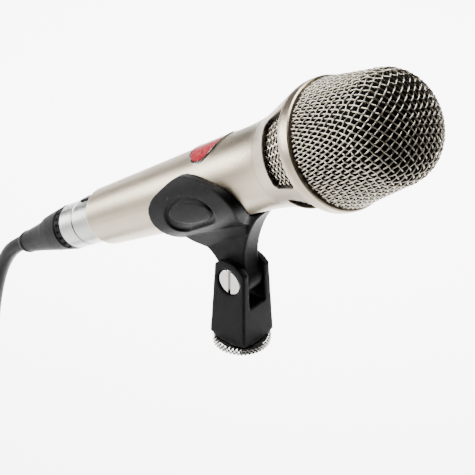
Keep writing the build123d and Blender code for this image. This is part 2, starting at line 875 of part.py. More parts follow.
with BuildPart() as plug_contacts:
    with BuildSketch(station(-3)):
        with Locations(pin_spots):
            Circle(pin_radius + 0.7)
    extrude(amount=plug_reach)
    with BuildSketch(station(0)):
        with Locations(pin_spots):
            Circle(pin_radius + run_gap)
    extrude(amount=plug_reach, mode=Mode.SUBTRACT)
save(plug_contacts, "plug_contacts")
disc("plug_chuck", 7.0, -17.0, 10.0, lead_radius + fit_gap)

boot_end = -plug_visible - boot_length
with BuildPart() as plug_boot:
    with BuildSketch(mic_section):
        with BuildLine():
            Polyline(
                (lead_radius + fit_gap, -plug_visible + 3.5),
                (plug_radius - plug_wall - fit_gap, -plug_visible + 3.5),
                (plug_radius - plug_wall - fit_gap, -plug_visible - fit_gap),
                (plug_radius, -plug_visible - fit_gap),
                (plug_radius, -plug_visible - 3.4),
                (plug_radius - 0.7, -plug_visible - 3.8),
                (plug_radius - 0.7, -plug_visible - 4.8),
                (plug_radius - 0.3, -plug_visible - 5.4),
            )
            sweep_in = Spline(
                (plug_radius - 0.3, -plug_visible - 5.4),
                (plug_radius - 1.3, -plug_visible - 14),
                (boot_end_radius + 1.9, boot_end + 12),
                (boot_end_radius, boot_end),
            )
            bore = lead_radius + fit_gap
            Polyline(sweep_in @ 1, (bore, boot_end), (bore, -plug_visible + 3.5))
        make_face()
    revolve(axis=mic_axis)
save(plug_boot, "plug_boot")
disc("lead_core", lead_radius, boot_end, -boot_end - 7.5)

# --- Lead: the hanging stretch, the tied coil and the free end --------------------------------------
exit_point = tail + ahead * boot_end
hanging_route = [
    exit_point,
    exit_point - ahead * 10.8,
    (-138.3, 0, -27.5),
    (-144.3, 0, -42.5),
    (-149.3, 0, -61.5),
    (-153.0, 0, -84.0),
    (-155.5, 0.5, -109.0),
    (-160.5, 2.5, -135.0),
    (-171.0, 8.0, -160.0),
    (-183.5, 14.5, -182.0),
    (-191.0, 18.5, -204.0),
]
coil_out = Vector(-0.661, 0.7505, 0)
coil_normal = Vector(0.7505, 0.661, 0)
coil_middle = Vector(*coil_centre)


def on_coil(turn, radius, shift):
    """Point at this angle round the coil, this far from its centre and beside its middle plane."""
    reach = coil_out * (radius * cos(radians(turn)))
    return coil_middle + reach + Vector(0, 0, radius * sin(radians(turn))) + coil_normal * shift


free_route = [
    on_coil(74, 40.0, -12.5),
    on_coil(48, 42.5, -16.5),
    on_coil(22, 45.5, -22.0),
    on_coil(0, 46.5, -26.0),
    on_coil(0, 46.5, -26.0) - Vector(0, 0, 14.0),
]


def swept_lead(name, route):
    """A round tube along straight runs joined by the largest tangent arcs, with its radii printed."""
    points = [Vector(*p) for p in route]
    radii = []
    for before, corner_point, after in zip(points, points[1:], points[2:]):
        turn = (corner_point - before).get_angle(after - corner_point)
        shorter = min((corner_point - before).length, (after - corner_point).length)
        radii.append(0.45 * shorter / tan(radians(turn / 2)))
    with BuildPart() as piece:
        with BuildLine() as path:
            FilletPolyline(*points, radius=radii)
        with BuildSketch(Plane(origin=path.wire() @ 0, z_dir=path.wire() % 0)):
            Circle(lead_radius)
        sweep()
    length = path.wire().length
    print(name, "arc radii", [round(r, 1) for r in radii], "length", round(length, 1))
    filled = piece.part.volume / (pi * lead_radius**2 * length)
    print(name, "volume over section times length", round(filled, 4))
    save(piece, name)


# FilletPolyline takes one radius for each corner of the route.
swept_lead("lead_hanging", hanging_route)
swept_lead("lead_free_end", free_route)

coil_axis = Axis(coil_middle, coil_normal)
with BuildPart() as lead_coil:
    with BuildSketch(Plane(origin=coil_middle + coil_out * coil_radius, x_dir=coil_out, z_dir=(0, 0, 1))):
        Circle(coil_bundle)
    revolve(axis=coil_axis)
save(lead_coil, "lead_coil")

with BuildPart() as coil_tie:
    first = radians(90 - tie_sweep / 2)
    spoke = coil_out * cos(first) + Vector(0, 0, sin(first))
    tie_start = Plane(origin=coil_middle + spoke * coil_radius, x_dir=spoke, z_dir=coil_normal.cross(spoke))
    with BuildSketch(tie_start):
        Circle(coil_bundle + fit_gap + tie_thickness)
        Circle(coil_bundle + fit_gap, mode=Mode.SUBTRACT)
    revolve(axis=coil_axis, revolution_arc=tie_sweep)
save(coil_tie, "coil_tie")

# --- Line plug on the free end, hanging beside the coil ---------------------------------------------
line_top = Plane(origin=free_route[-1], x_dir=coil_out, z_dir=(0, 0, -1))
line_section = Plane(origin=free_route[-1], x_dir=coil_out, z_dir=coil_out.cross(Vector(0, 0, -1)))
line_axis = Axis(free_route[-1], (0, 0, -1))
line_shell_start = boot_length
line_shell_length = 40.0
with BuildPart() as line_plug_boot:
    with BuildSketch(line_section):
        with BuildLine():
            taper_out = Spline(
                (boot_end_radius, 0),
                (boot_end_radius + 1.9, 12),
                (plug_radius - 1.3, boot_length - 14),
                (plug_radius - 0.3, boot_length),
            )
            Polyline(taper_out @ 1, (0, boot_length), (0, 0), taper_out @ 0)
        make_face()
    revolve(axis=line_axis)
save(line_plug_boot, "line_plug_boot")

with BuildPart() as line_plug_shell:
    with BuildSketch(line_top.offset(line_shell_start + fit_gap)):
        Circle(plug_radius)
        Circle(plug_radius - plug_wall, mode=Mode.SUBTRACT)
    extrude(amount=line_shell_length)
    chamfer(line_plug_shell.edges().filter_by(GeomType.CIRCLE).sort_by(Axis.Z)[:2], 0.4)
save(line_plug_shell, "line_plug_shell")

with BuildPart() as line_plug_insert:
    with BuildSketch(line_top.offset(line_shell_start + 10)):
        Circle(plug_radius - plug_wall - fit_gap)
    extrude(amount=line_shell_length - 26)
save(line_plug_insert, "line_plug_insert")

with BuildPart() as line_plug_pins:
    with BuildSketch(line_top.offset(line_shell_start + line_shell_length - 16 + fit_gap)):
        with Locations(pin_spots):
            Circle(pin_radius)
    extrude(amount=pin_length)
    chamfer(line_plug_pins.edges().filter_by(GeomType.CIRCLE).group_by(Axis.Z)[0], 0.5)
save(line_plug_pins, "line_plug_pins")
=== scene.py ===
"""Looks of the stage microphone, its stand clip and its lead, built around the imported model."""

from math import cos, pi, radians, sin, sqrt

import bmesh
import bpy
from mathutils import Matrix, Vector


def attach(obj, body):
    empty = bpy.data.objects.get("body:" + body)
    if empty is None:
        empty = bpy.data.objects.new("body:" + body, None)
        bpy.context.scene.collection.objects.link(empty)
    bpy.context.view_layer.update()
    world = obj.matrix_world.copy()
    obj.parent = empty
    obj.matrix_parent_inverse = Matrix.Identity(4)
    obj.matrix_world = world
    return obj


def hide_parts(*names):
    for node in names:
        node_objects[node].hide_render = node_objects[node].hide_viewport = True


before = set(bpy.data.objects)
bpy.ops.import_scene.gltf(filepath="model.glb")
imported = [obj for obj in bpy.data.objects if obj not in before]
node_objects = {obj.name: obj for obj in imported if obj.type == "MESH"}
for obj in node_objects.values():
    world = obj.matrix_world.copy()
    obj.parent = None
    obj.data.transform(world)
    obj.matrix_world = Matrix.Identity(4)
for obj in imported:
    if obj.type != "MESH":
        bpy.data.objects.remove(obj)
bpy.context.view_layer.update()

# --- Camera: a long lens from the right front, looking down at the clip ---------------------------
camera_azimuth = radians(41.4)
camera_elevation = radians(34.5)
camera_distance = 0.705
camera_target = Vector((-0.0154, 0.0150, 0.0326))
camera_lens = 138.1

sight = Vector(
    (
        -sin(camera_azimuth) * cos(camera_elevation),
        cos(camera_azimuth) * cos(camera_elevation),
        -sin(camera_elevation),
    )
)
camera_data = bpy.data.cameras.new("camera")
camera_data.lens = camera_lens
camera_data.sensor_width = 36
camera_data.clip_end = 50
camera = bpy.data.objects.new("camera", camera_data)
camera.location = camera_target - sight * camera_distance
camera.rotation_euler = sight.to_track_quat("-Z", "Y").to_euler()
bpy.context.scene.collection.objects.link(camera)
bpy.context.scene.camera = camera

# --- Lead: one round cable from the plug's boot, down to a tied coil and on to the line plug ------
# A flexible cable with a soft black jacket drawn over its cores. Its unseen length is wound round and
# round into a bundle of nineteen turns, and a fabric tie holds them.
lead_diameter = 0.0065
lean = radians(35.0)
ahead = Vector((cos(lean), 0, sin(lean)))
upward = Vector((-sin(lean), 0, cos(lean)))
side = Vector((0, -1, 0))
pivot = Vector((0, 0, 0.0305))
tail_behind_pivot = 0.0612
axis_above_pivot = 0.0368
tail = pivot - ahead * tail_behind_pivot + upward * axis_above_pivot
plug_visible = 0.0218
boot_length = 0.0395
straight_run = 0.0108
exit_point = tail - ahead * (plug_visible + boot_length)
hanging_route = [
    exit_point,
    exit_point - ahead * straight_run,
    Vector((-0.1383, 0, -0.0275)),
    Vector((-0.1443, 0, -0.0425)),
    Vector((-0.1493, 0, -0.0615)),
    Vector((-0.1530, 0, -0.0840)),
    Vector((-0.1555, 0.0005, -0.1090)),
    Vector((-0.1605, 0.0025, -0.1350)),
    Vector((-0.1710, 0.0080, -0.1600)),
    Vector((-0.1835, 0.0145, -0.1820)),
    Vector((-0.1910, 0.0185, -0.2040)),
]
coil_middle = Vector((-0.1765, -0.0172, -0.2320))
coil_out = Vector((-0.661, 0.7505, 0))
coil_normal = Vector((0.7505, 0.661, 0))
coil_radius = 0.039
coil_turns = 19
coil_first_angle = 12
coil_last_angle = 92 - 360 * coil_turns
points_per_turn = 16
ease_from = 0.7


def on_coil(turn, radius, shift):
    """Point at this angle round the coil, this far from its centre and beside its middle plane."""
    reach = coil_out * (radius * cos(radians(turn)))
    return coil_middle + reach + Vector((0, 0, radius * sin(radians(turn)))) + coil_normal * shift


free_top = on_coil(0, 0.0465, -0.0260)
free_route = [
    on_coil(74, 0.0400, -0.0125),
    on_coil(48, 0.0425, -0.0165),
    on_coil(22, 0.0455, -0.0220),
    free_top,
    free_top - Vector((0, 0, 0.0140)),
]


def bundle_places(pitch):
    """Places of the turns across the bundle, row by row, in the tightest round packing of nineteen."""
    places = []
    for row, count in enumerate((3, 4, 5, 4, 3)):
        line = [(pitch * (k - (count - 1) / 2), pitch * sqrt(0.75) * (2 - row)) for k in range(count)]
        places += line if row % 2 == 0 else line[::-1]
    return places


def coil_points():
    """Control points of the wound turns, each turn easing over into the next one's place."""
    places = bundle_places(lead_diameter)
    sweep = coil_first_angle - coil_last_angle
    count = round(sweep / 360 * points_per_turn)
    points = []
    for k in range(count + 1):
        angle = coil_first_angle - sweep * k / count
        turned = (coil_first_angle - angle) / 360
        whole = min(int(turned), coil_turns - 1)
        ease = min(max((turned - whole - ease_from) / (1 - ease_from), 0), 1)
        here, there = places[whole], places[min(whole + 1, coil_turns - 1)]
        out, shift = (here[i] + (there[i] - here[i]) * ease for i in (0, 1))
        points.append(on_coil(angle, (coil_radius + out) / cos(pi / points_per_turn) ** 0.5, shift))
    return points


lead_data = bpy.data.curves.new("lead", "CURVE")
lead_data.dimensions = "3D"
lead_data.resolution_u = 6
lead_data.bevel_depth = lead_diameter / 2
lead_data.bevel_resolution = 3
lead_data.use_fill_caps = True
route = hanging_route + coil_points() + free_route
spline = lead_data.splines.new("NURBS")
spline.points.add(len(route) - 1)
for control, place in zip(spline.points, route):
    control.co = (*place, 1)
spline.order_u = 3
spline.use_endpoint_u = True
lead = bpy.data.objects.new("lead", lead_data)
bpy.context.scene.collection.objects.link(lead)


class Builder:
    """Adds nodes to one tree, each with its settings and inputs in the same call."""

    def __init__(self, tree):
        self.tree = tree

    def node(self, kind, settings=(), **inputs):
        """A new node. An input's name is written with _ where the socket's has a space."""
        made = self.tree.nodes.new(kind)
        for key, value in dict(settings).items():
            setattr(made, key, value)
        for key, value in inputs.items():
            self.feed(made.inputs[key.replace("_", " ")], value)
        return made

    def feed(self, socket, value):
        """Link a socket to this output, or give it this value."""
        if isinstance(value, bpy.types.NodeSocket):
            self.tree.links.new(value, socket)
        else:
            socket.default_value = value

    def math(self, operation, *values):
        """Output of a Math node on these values."""
        made = self.tree.nodes.new("ShaderNodeMath")
        made.operation = operation
        for socket, value in zip(made.inputs, values):
            self.feed(socket, value)
        return made.outputs[0]

    def vector(self, operation, *values):
        """Output of a Vector Math node on these values."""
        made = self.tree.nodes.new("ShaderNodeVectorMath")
        made.operation = operation
        for socket, value in zip(made.inputs, values):
            self.feed(socket, value)
        return made.outputs["Value" if operation in ("LENGTH", "DOT_PRODUCT") else "Vector"]

    def blend(self, factor, first, second):
        """Colour between two colours."""
        return self.node(
            "ShaderNodeMix", {"data_type": "RGBA"}, Factor=factor, A=first, B=second
        ).outputs["Result"]


def new_group(name, inputs, outputs):
    """An empty shader node group with float inputs, given with their defaults, and float outputs."""
    group = bpy.data.node_groups.new(name, "ShaderNodeTree")
    for label, default in inputs.items():
        socket = group.interface.new_socket(label, in_out="INPUT", socket_type="NodeSocketFloat")
        socket.default_value = default
    for label in outputs:
        group.interface.new_socket(label, in_out="OUTPUT", socket_type="NodeSocketFloat")
    return group, group.nodes.new("NodeGroupInput").outputs, group.nodes.new("NodeGroupOutput").inputs


def grain_group():
    """Fine moulded or sprayed grain as a height, and a slow blotch for the colour."""
    inputs = {"Grain Scale": 3000, "Blotch Scale": 60}
    group, given, result = new_group("surface_grain", inputs, ("Height", "Blotch"))
    build = Builder(group)
    place = build.node("ShaderNodeTexCoord").outputs["Object"]
    fine = build.node("ShaderNodeTexNoise", Vector=place, Scale=given["Grain Scale"], Detail=3)
    blotch = build.node("ShaderNodeTexNoise", Vector=place, Scale=given["Blotch Scale"], Detail=4)
    build.feed(result["Height"], fine.outputs["Fac"])
    build.feed(result["Blotch"], blotch.outputs["Fac"])
    return group


edge_from, edge_full = 0.52, 0.62


def edge_rub_highlight_group():
    """Mask of the convex edges, which it lightens: a painted edge highlight as well as rubbing wear."""
    group, given, result = new_group("edge_rub_and_painted_highlight", {"Amount": 0.5}, ("Mask",))
    build = Builder(group)
    bend = build.node("ShaderNodeNewGeometry").outputs["Pointiness"]
    edge = build.node("ShaderNodeMapRange", Value=bend, From_Min=edge_from, From_Max=edge_full)
    build.feed(result["Mask"], build.math("MULTIPLY", edge.outputs["Result"], given["Amount"]))
    return group


grain_tree = grain_group()
edge_rub_highlight_tree = edge_rub_highlight_group()
relief_depth = 0.0002
grain_low, grain_high = 0.3, 0.7


def finish_material(
    name,
    dark,
    light,
    roughness,
    metallic=0.0,
    grain=3000,
    blotch=60,
    bump=0.1,
    spread=0.08,
    rub_highlight=0.0,
    rub_highlight_colour=(0.5, 0.5, 0.5),
    settings=(),
):
    """Grained finish of two close colours, roughness varied, edges lighter for painted highlight and wear.
    """
    material = bpy.data.materials.new(name)
    material.use_nodes = True
    build = Builder(material.node_tree)
    surface = material.node_tree.nodes["Principled BSDF"].inputs
    surface["Metallic"].default_value = metallic
    for socket, value in settings:
        surface[socket].default_value = value
    grained = build.node(
        "ShaderNodeGroup", {"node_tree": grain_tree}, Grain_Scale=grain, Blotch_Scale=blotch
    ).outputs
    colour = build.blend(grained["Blotch"], (*dark, 1), (*light, 1))
    if rub_highlight:
        # Painted highlight: the convex edges are lightened towards this colour, together with rubbing wear.
        rub_highlight_mask = build.node("ShaderNodeGroup", {"node_tree": edge_rub_highlight_tree}, Amount=rub_highlight).outputs["Mask"]
        colour = build.blend(rub_highlight_mask, colour, (*rub_highlight_colour, 1))
    build.feed(surface["Base Color"], colour)
    vary = build.node(
        "ShaderNodeMapRange",
        Value=grained["Height"],
        From_Min=grain_low,
        From_Max=grain_high,
        To_Min=roughness - spread,
        To_Max=roughness + spread,
    )
    build.feed(surface["Roughness"], vary.outputs["Result"])
    if bump:
        relief = build.node(
            "ShaderNodeBump", Strength=bump, Distance=relief_depth, Height=grained["Height"]
        )
        build.feed(surface["Normal"], relief.outputs["Normal"])
    return material


def paint(material, *names):
    """Put this material on these carried-over CAD nodes."""
    for name in names:
        mesh = node_objects[name].data
        mesh.materials.clear()
        mesh.materials.append(material)
        for polygon in mesh.polygons:
            polygon.material_index = 0


jacket = finish_material(
    "lead_jacket", (0.003, 0.003, 0.0032), (0.006, 0.006, 0.0063), 0.4, grain=2600, bump=0.15, spread=0.1,
    settings=[("Specular IOR Level", 0.12)],
)
paint(jacket, "lead_core")
lead_data.materials.append(jacket)
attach(lead, "lead")
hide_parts("lead_hanging", "lead_coil", "lead_free_end")

# --- Stand adapter: threaded barrel with a knurled rim --------------------------------------------
# Turned brass, nickel plated, screwed on the top of the stand. Its rim is rolled with a diamond knurl
# for the fingers.
adapter_radius = 0.01085
adapter_height = 0.0029
knurl_count = 44
knurl_rows = 3
knurl_height = 0.0006
knurl_sunk = 0.00002
point_reach = 0.54
point_flat = 0.12


def new_tree(name, inputs):
    """A geometry node group with these inputs, given as name and kind, and one geometry output."""
    tree = bpy.data.node_groups.new(name, "GeometryNodeTree")
    for label, kind in inputs.items():
        tree.interface.new_socket(label, in_out="INPUT", socket_type="NodeSocket" + kind)
    tree.interface.new_socket("Geometry", in_out="OUTPUT", socket_type="NodeSocketGeometry")
    return tree, tree.nodes.new("NodeGroupInput").outputs, tree.nodes.new("NodeGroupOutput")


def knurl_tree():
    """Rows of four-sided points round a rim, each row half a step on from the one below."""
    inputs = {
        "Count": "Int", "Rows": "Int", "Radius": "Float", "Rim Height": "Float", "Point Height": "Float",
        "Material": "Material",
    }
    tree, given, result = new_tree("diamond_knurl", inputs)
    build = Builder(tree)
    total = build.math("MULTIPLY", given["Count"], given["Rows"])
    points = build.node("GeometryNodeMeshLine", {"mode": "OFFSET"}, Count=total)
    index = build.node("GeometryNodeInputIndex").outputs[0]
    row = build.math("FLOOR", build.math("DIVIDE", index, given["Count"]))
    step = build.math("DIVIDE", 2 * pi, given["Count"])
    shifted = build.math("ADD", index, build.math("MULTIPLY", row, 0.5))
    angle = build.math("MULTIPLY", shifted, step)
    level = build.math("DIVIDE", build.math("ADD", row, 0.5), given["Rows"])
    height = build.math("MULTIPLY", level, given["Rim Height"])
    place = build.node(
        "ShaderNodeCombineXYZ",
        X=build.math("MULTIPLY", given["Radius"], build.math("COSINE", angle)),
        Y=build.math("MULTIPLY", given["Radius"], build.math("SINE", angle)),
        Z=height,
    )
    placed = build.node("GeometryNodeSetPosition", Geometry=points.outputs[0], Position=place.outputs[0])
    reach = build.math("MULTIPLY", build.math("MULTIPLY", given["Radius"], step), point_reach)
    point = build.node(
        "GeometryNodeMeshCone",
        Vertices=4,
        Radius_Top=build.math("MULTIPLY", reach, point_flat),
        Radius_Bottom=reach,
        Depth=given["Point Height"],
    )
    aim = build.node("ShaderNodeCombineXYZ", Y=pi / 2, Z=angle)
    laid = build.node(
        "GeometryNodeInstanceOnPoints", Points=placed.outputs[0], Instance=point.outputs[0],
        Rotation=aim.outputs[0],
    )
    real = build.node("GeometryNodeRealizeInstances", Geometry=laid.outputs[0])
    done = build.node("GeometryNodeSetMaterial", Geometry=real.outputs[0], Material=given["Material"])
    tree.links.new(done.outputs[0], result.inputs[0])
    return tree


def meshed(name, tree, values, place):
    """Evaluate a node tree on an empty mesh with these inputs, and return the plain mesh in its place."""
    holder = bpy.data.objects.new(name + "_maker", bpy.data.meshes.new(name + "_maker"))
    bpy.context.scene.collection.objects.link(holder)
    modifier = holder.modifiers.new("nodes", "NODES")
    modifier.node_group = tree
    for item in tree.interface.items_tree:
        if item.in_out == "INPUT" and item.name in values:
            modifier[item.identifier] = values[item.name]
    holder.update_tag()
    evaluated = holder.evaluated_get(bpy.context.evaluated_depsgraph_get())
    mesh = bpy.data.meshes.new_from_object(evaluated)
    mesh.name = name
    mesh.transform(place)
    bpy.data.objects.remove(holder)
    return mesh


def make_piece(name, mesh, body, material, *stands_for):
    """Link a finished mesh as a piece that rides on a body and stands for CAD nodes."""
    piece = bpy.data.objects.new(name, mesh)
    bpy.context.scene.collection.objects.link(piece)
    mesh.materials.clear()
    mesh.materials.append(material)
    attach(piece, body)
    if stands_for:
        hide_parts(*stands_for)
    return piece


bright_nickel = finish_material(
    "bright_nickel", (0.62, 0.60, 0.57), (0.70, 0.68, 0.65), 0.16, metallic=1.0, grain=900, bump=0.03,
    spread=0.05,
)
paint(bright_nickel, "stand_adapter")
knurl_mesh = meshed(
    "knurled_rim",
    knurl_tree(),
    {
        "Count": knurl_count,
        "Rows": knurl_rows,
        "Radius": adapter_radius - knurl_sunk,
        "Rim Height": adapter_height,
        "Point Height": knurl_height,
        "Material": bright_nickel,
    },
    Matrix.Identity(4),
)
knurl = make_piece("knurled_rim", knurl_mesh, "stand_mount", bright_nickel)

# --- Clip: fork, tilting cradle and the pivot's screw and nut -------------------------------------
# The fork and cradle are injection moulded in fine-textured black nylon, with every corner rounded.
# A slotted plated screw and a nut pinch the cradle between the fork's two plates.
cradle_voxel = 0.0004
cradle_rounds = 5
base_voxel = 0.00042
base_rounds = 3
merge_distance = 1e-6
low_gloss = [("Specular IOR Level", 0.06)]
# Its lighter edges are a painted highlight along the rounded corners, together with some wear.
black_nylon = finish_material(
    "black_nylon", (0.0055, 0.0055, 0.0058), (0.0095, 0.0095, 0.0098), 0.40, grain=2300, bump=0.7,
    spread=0.10, rub_highlight=0.4, rub_highlight_colour=(0.07, 0.07, 0.072), settings=low_gloss,
)
paint(black_nylon, "clip_base", "clip_cradle")
paint(bright_nickel, "pivot_screw", "pivot_nut")


def softened(name, source, voxel, rounds):
    """The CAD node's form with all its corners rounded, as an even fine mesh."""
    mesh = node_objects[source].data.copy()
    shape = bmesh.new()
    shape.from_mesh(mesh)
    bmesh.ops.remove_doubles(shape, verts=shape.verts, dist=merge_distance)
    shape.to_mesh(mesh)
    shape.free()
    maker = bpy.data.objects.new(name + "_maker", mesh)
    bpy.context.scene.collection.objects.link(maker)
    even = maker.modifiers.new("even", "REMESH")
    even.mode = "VOXEL"
    even.voxel_size = voxel
    even.use_smooth_shade = True
    soft = maker.modifiers.new("soft", "SMOOTH")
    soft.factor = 0.5
    soft.iterations = rounds
    maker.update_tag()
    made = bpy.data.meshes.new_from_object(maker.evaluated_get(bpy.context.evaluated_depsgraph_get()))
    made.name = name
    bpy.data.objects.remove(maker)
    return made


cradle_mesh = softened("soft_cradle", "clip_cradle", cradle_voxel, cradle_rounds)
cradle = make_piece("soft_cradle", cradle_mesh, "cradle", black_nylon, "clip_cradle")
fork_mesh = softened("soft_fork", "clip_base", base_voxel, base_rounds)
fork = make_piece("soft_fork", fork_mesh, "base", black_nylon, "clip_base")

# --- Handle: tapered shell with its insert screw and badge ----------------------------------------
# A turned and tapered alloy tube, sprayed with satin nickel lacquer. A small dark screw holds the
# connector in its tail, and a plate filled with red enamel is pressed into a plated rim.
champagne = finish_material(
    "champagne_lacquer", (0.49, 0.415, 0.305), (0.56, 0.48, 0.365), 0.33, metallic=1.0, grain=2600,
    blotch=45, bump=0.3, spread=0.07,
)
dark_steel = finish_material("dark_steel", (0.02, 0.02, 0.02), (0.04, 0.04, 0.04), 0.4, metallic=0.6)
enamel = finish_material(
    "red_enamel", (0.30, 0.002, 0.010), (0.38, 0.003, 0.014), 0.3, grain=900, bump=0.02,
    settings=[("Specular IOR Level", 0.25), ("Coat Weight", 0.15), ("Coat Roughness", 0.1)],
)
paint(champagne, "handle_shell")
paint(dark_steel, "insert_screw")
paint(bright_nickel, "badge_bezel")
paint(enamel, "badge_enamel")

# --- Head: windowed shell with its linings --------------------------------------------------------
# A turned shell with four windows, lacquered outside, its windows' walls and inside black as painted shade.
# Black cloth, a fine mesh and foam line it, and a dark steel ring holds the grille's rim.
windows_start = 0.118
windows_end = 0.1366
lining_from = 0.1223
shell_inside = 0.0188
shell_slope = 0.307


def lacquer_with_painted_window_shade():
    """The body's lacquer, with painted shade in black on the walls and inside behind the head's windows."""
    material = champagne.copy()
    material.name = "head_lacquer"
    build = Builder(material.node_tree)
    surface = material.node_tree.nodes["Principled BSDF"].inputs
    coated = surface["Base Color"].links[0].from_socket
    from_tail = build.vector("SUBTRACT", build.node("ShaderNodeTexCoord").outputs["Object"], tail)
    station = build.vector("DOT_PRODUCT", from_tail, ahead)
    radius = build.vector("LENGTH", build.vector("CROSS_PRODUCT", from_tail, ahead))
    rise = build.math("MULTIPLY", build.math("SUBTRACT", station, lining_from), shell_slope)
    wall = build.math("ADD", rise, shell_inside)
    past_start = build.math("GREATER_THAN", station, windows_start)
    behind = build.math("MULTIPLY", past_start, build.math("LESS_THAN", station, windows_end))
    inside = build.math("MULTIPLY", build.math("LESS_THAN", radius, wall), behind)
    # Painted shade: black, not metallic, on the windows' walls and the shell's inside.
    build.feed(surface["Base Color"], build.blend(inside, coated, (0.008, 0.008, 0.008, 1)))
    build.feed(surface["Metallic"], build.math("SUBTRACT", 1.0, inside))
    return material


dark_cloth = finish_material(
    "dark_cloth", (0.003, 0.003, 0.003), (0.007, 0.007, 0.007), 0.9, bump=0.8,
    settings=[("Specular IOR Level", 0.1)],
)
paint(lacquer_with_painted_window_shade(), "head_shell")
paint(dark_cloth, "vent_cloth", "fine_mesh", "foam_liner")
paint(dark_steel, "basket_ring")

# --- Grille: woven wire drawn over the head's form ------------------------------------------------
# Two families of round plated wires pass over and under each other. The cloth is pressed from a flat
# disc, so its squares stay square at the nose and change towards the rim.
weave_pitch = 0.00182
weave_wire = 0.0003
weave_lift = 0.00024
weave_turn = radians(27)
cloth_reach = 0.0365
cloth_draw = 1.12
cloth_inset = 0.00055
samples_per_pitch = 10
wire_sides = 5
rim_station = 0.1429
rim_radius = 0.0233
shoulder_station = 0.1650
shoulder_radius = 0.02065
nose_length = 0.0156
dome_power = 2.34
dome_steps = 60
skirt_steps = 20
weave_inputs = {
    "Pitch": "Float", "Reach": "Float", "Lift": "Float", "Turn": "Float", "Wire Radius": "Float",
    "Material": "Material",
}


def flat_cloth(build, pitch, reach, lift, turn):
    """Flat crimped cloth as curves: wires along X, then the same wires turned a quarter, all turned."""
    whole = build.math("MULTIPLY", build.math("ROUND", build.math("DIVIDE", reach, pitch)), 2)
    first_row = build.math("SUBTRACT", 0.5, build.math("DIVIDE", whole, 2))
    start = build.node("ShaderNodeCombineXYZ", Y=build.math("MULTIPLY", pitch, first_row))
    rows = build.node(
        "GeometryNodeMeshLine",
        {"mode": "OFFSET"},
        Count=whole,
        Start_Location=start.outputs[0],
        Offset=build.node("ShaderNodeCombineXYZ", Y=pitch).outputs[0],
    )
    edge = build.node("ShaderNodeCombineXYZ", X=reach).outputs[0]
    other_edge = build.vector("MULTIPLY", edge, (-1, 0, 0))
    wire = build.node("GeometryNodeCurvePrimitiveLine", Start=other_edge, End=edge)
    samples = build.math("MULTIPLY", build.math("DIVIDE", reach, pitch), samples_per_pitch)
    fine = build.node("GeometryNodeResampleCurve", Curve=wire.outputs[0], Count=samples)
    laid = build.node("GeometryNodeInstanceOnPoints", Points=rows.outputs[0], Instance=fine.outputs[0])
    real = build.node("GeometryNodeRealizeInstances", Geometry=laid.outputs[0])
    split = build.node("ShaderNodeSeparateXYZ", Vector=build.node("GeometryNodeInputPosition").outputs[0])
    row = build.math("FLOOR", build.math("DIVIDE", split.outputs["Y"], pitch))
    step = build.math("ADD", build.math("DIVIDE", split.outputs["X"], pitch), row)
    phase = build.math("MULTIPLY", step, pi)
    height = build.math("MULTIPLY", build.math("SINE", phase), lift)
    crimped = build.node(
        "GeometryNodeSetPosition",
        Geometry=real.outputs[0],
        Offset=build.node("ShaderNodeCombineXYZ", Z=height).outputs[0],
    )
    crossed = build.node(
        "GeometryNodeTransform",
        Geometry=crimped.outputs[0],
        Rotation=build.node("ShaderNodeCombineXYZ", Z=pi / 2).outputs[0],
        Scale=(1, 1, 1),
    )
    both = build.node("GeometryNodeJoinGeometry")
    build.tree.links.new(crimped.outputs[0], both.inputs[0])
    build.tree.links.new(crossed.outputs[0], both.inputs[0])
    return build.node(
        "GeometryNodeTransform",
        Geometry=both.outputs[0],
        Rotation=build.node("ShaderNodeCombineXYZ", Z=turn).outputs[0],
    ).outputs[0]


def wires_from(build, curves, wire_radius, material):
    """Round wires along curves, with their material."""
    ring = build.node("GeometryNodeCurvePrimitiveCircle", Resolution=wire_sides, Radius=wire_radius)
    solid = build.node(
        "GeometryNodeCurveToMesh", Curve=curves, Profile_Curve=ring.outputs[0], Fill_Caps=True
    )
    smooth = build.node("GeometryNodeSetShadeSmooth", Geometry=solid.outputs[0])
    real = build.node("GeometryNodeRealizeInstances", Geometry=smooth.outputs[0])
    return build.node("GeometryNodeSetMaterial", Geometry=real.outputs[0], Material=material).outputs[0]


def drawn_cloth_tree(profile):
    """The cloth over a turned form: distance from the middle of the disc becomes distance along profile."""
    tree, given, result = new_tree("drawn_cloth", weave_inputs | {"Draw": "Float"})
    build = Builder(tree)
    cloth = flat_cloth(build, given["Pitch"], given["Reach"], given["Lift"], given["Turn"])
    at = build.node("GeometryNodeInputPosition").outputs[0]
    flat = build.vector("MULTIPLY", at, (1, 1, 0))
    distance = build.vector("LENGTH", flat)
    kept = build.node(
        "GeometryNodeDeleteGeometry",
        {"domain": "POINT"},
        Geometry=cloth,
        Selection=build.math("GREATER_THAN", distance, given["Reach"]),
    )
    share = build.math("DIVIDE", distance, given["Reach"])
    line = build.node("GeometryNodeObjectInfo", Object=profile)
    sample = build.node(
        "GeometryNodeSampleCurve",
        {"mode": "FACTOR", "use_all_curves": True},
        Curves=line.outputs["Geometry"],
        Factor=build.math("POWER", share, given["Draw"]),
    )
    form = build.node("ShaderNodeSeparateXYZ", Vector=sample.outputs["Position"]).outputs
    run = build.node("ShaderNodeSeparateXYZ", Vector=sample.outputs["Tangent"]).outputs
    lift = build.node("ShaderNodeSeparateXYZ", Vector=at).outputs["Z"]
    spoke = build.vector("NORMALIZE", flat)
    across = build.math("SUBTRACT", form["X"], build.math("MULTIPLY", run["Z"], lift))
    along = build.math("ADD", form["Z"], build.math("MULTIPLY", run["X"], lift))
    moved = build.vector("SCALE", spoke)
    build.feed(moved.node.inputs["Scale"], across)
    place = build.vector("ADD", moved, build.node("ShaderNodeCombineXYZ", Z=along).outputs[0])
    drawn = build.node("GeometryNodeSetPosition", Geometry=kept.outputs[0], Position=place)
    solid = wires_from(build, drawn.outputs[0], given["Wire Radius"], given["Material"])
    tree.links.new(solid, result.inputs[0])
    return tree


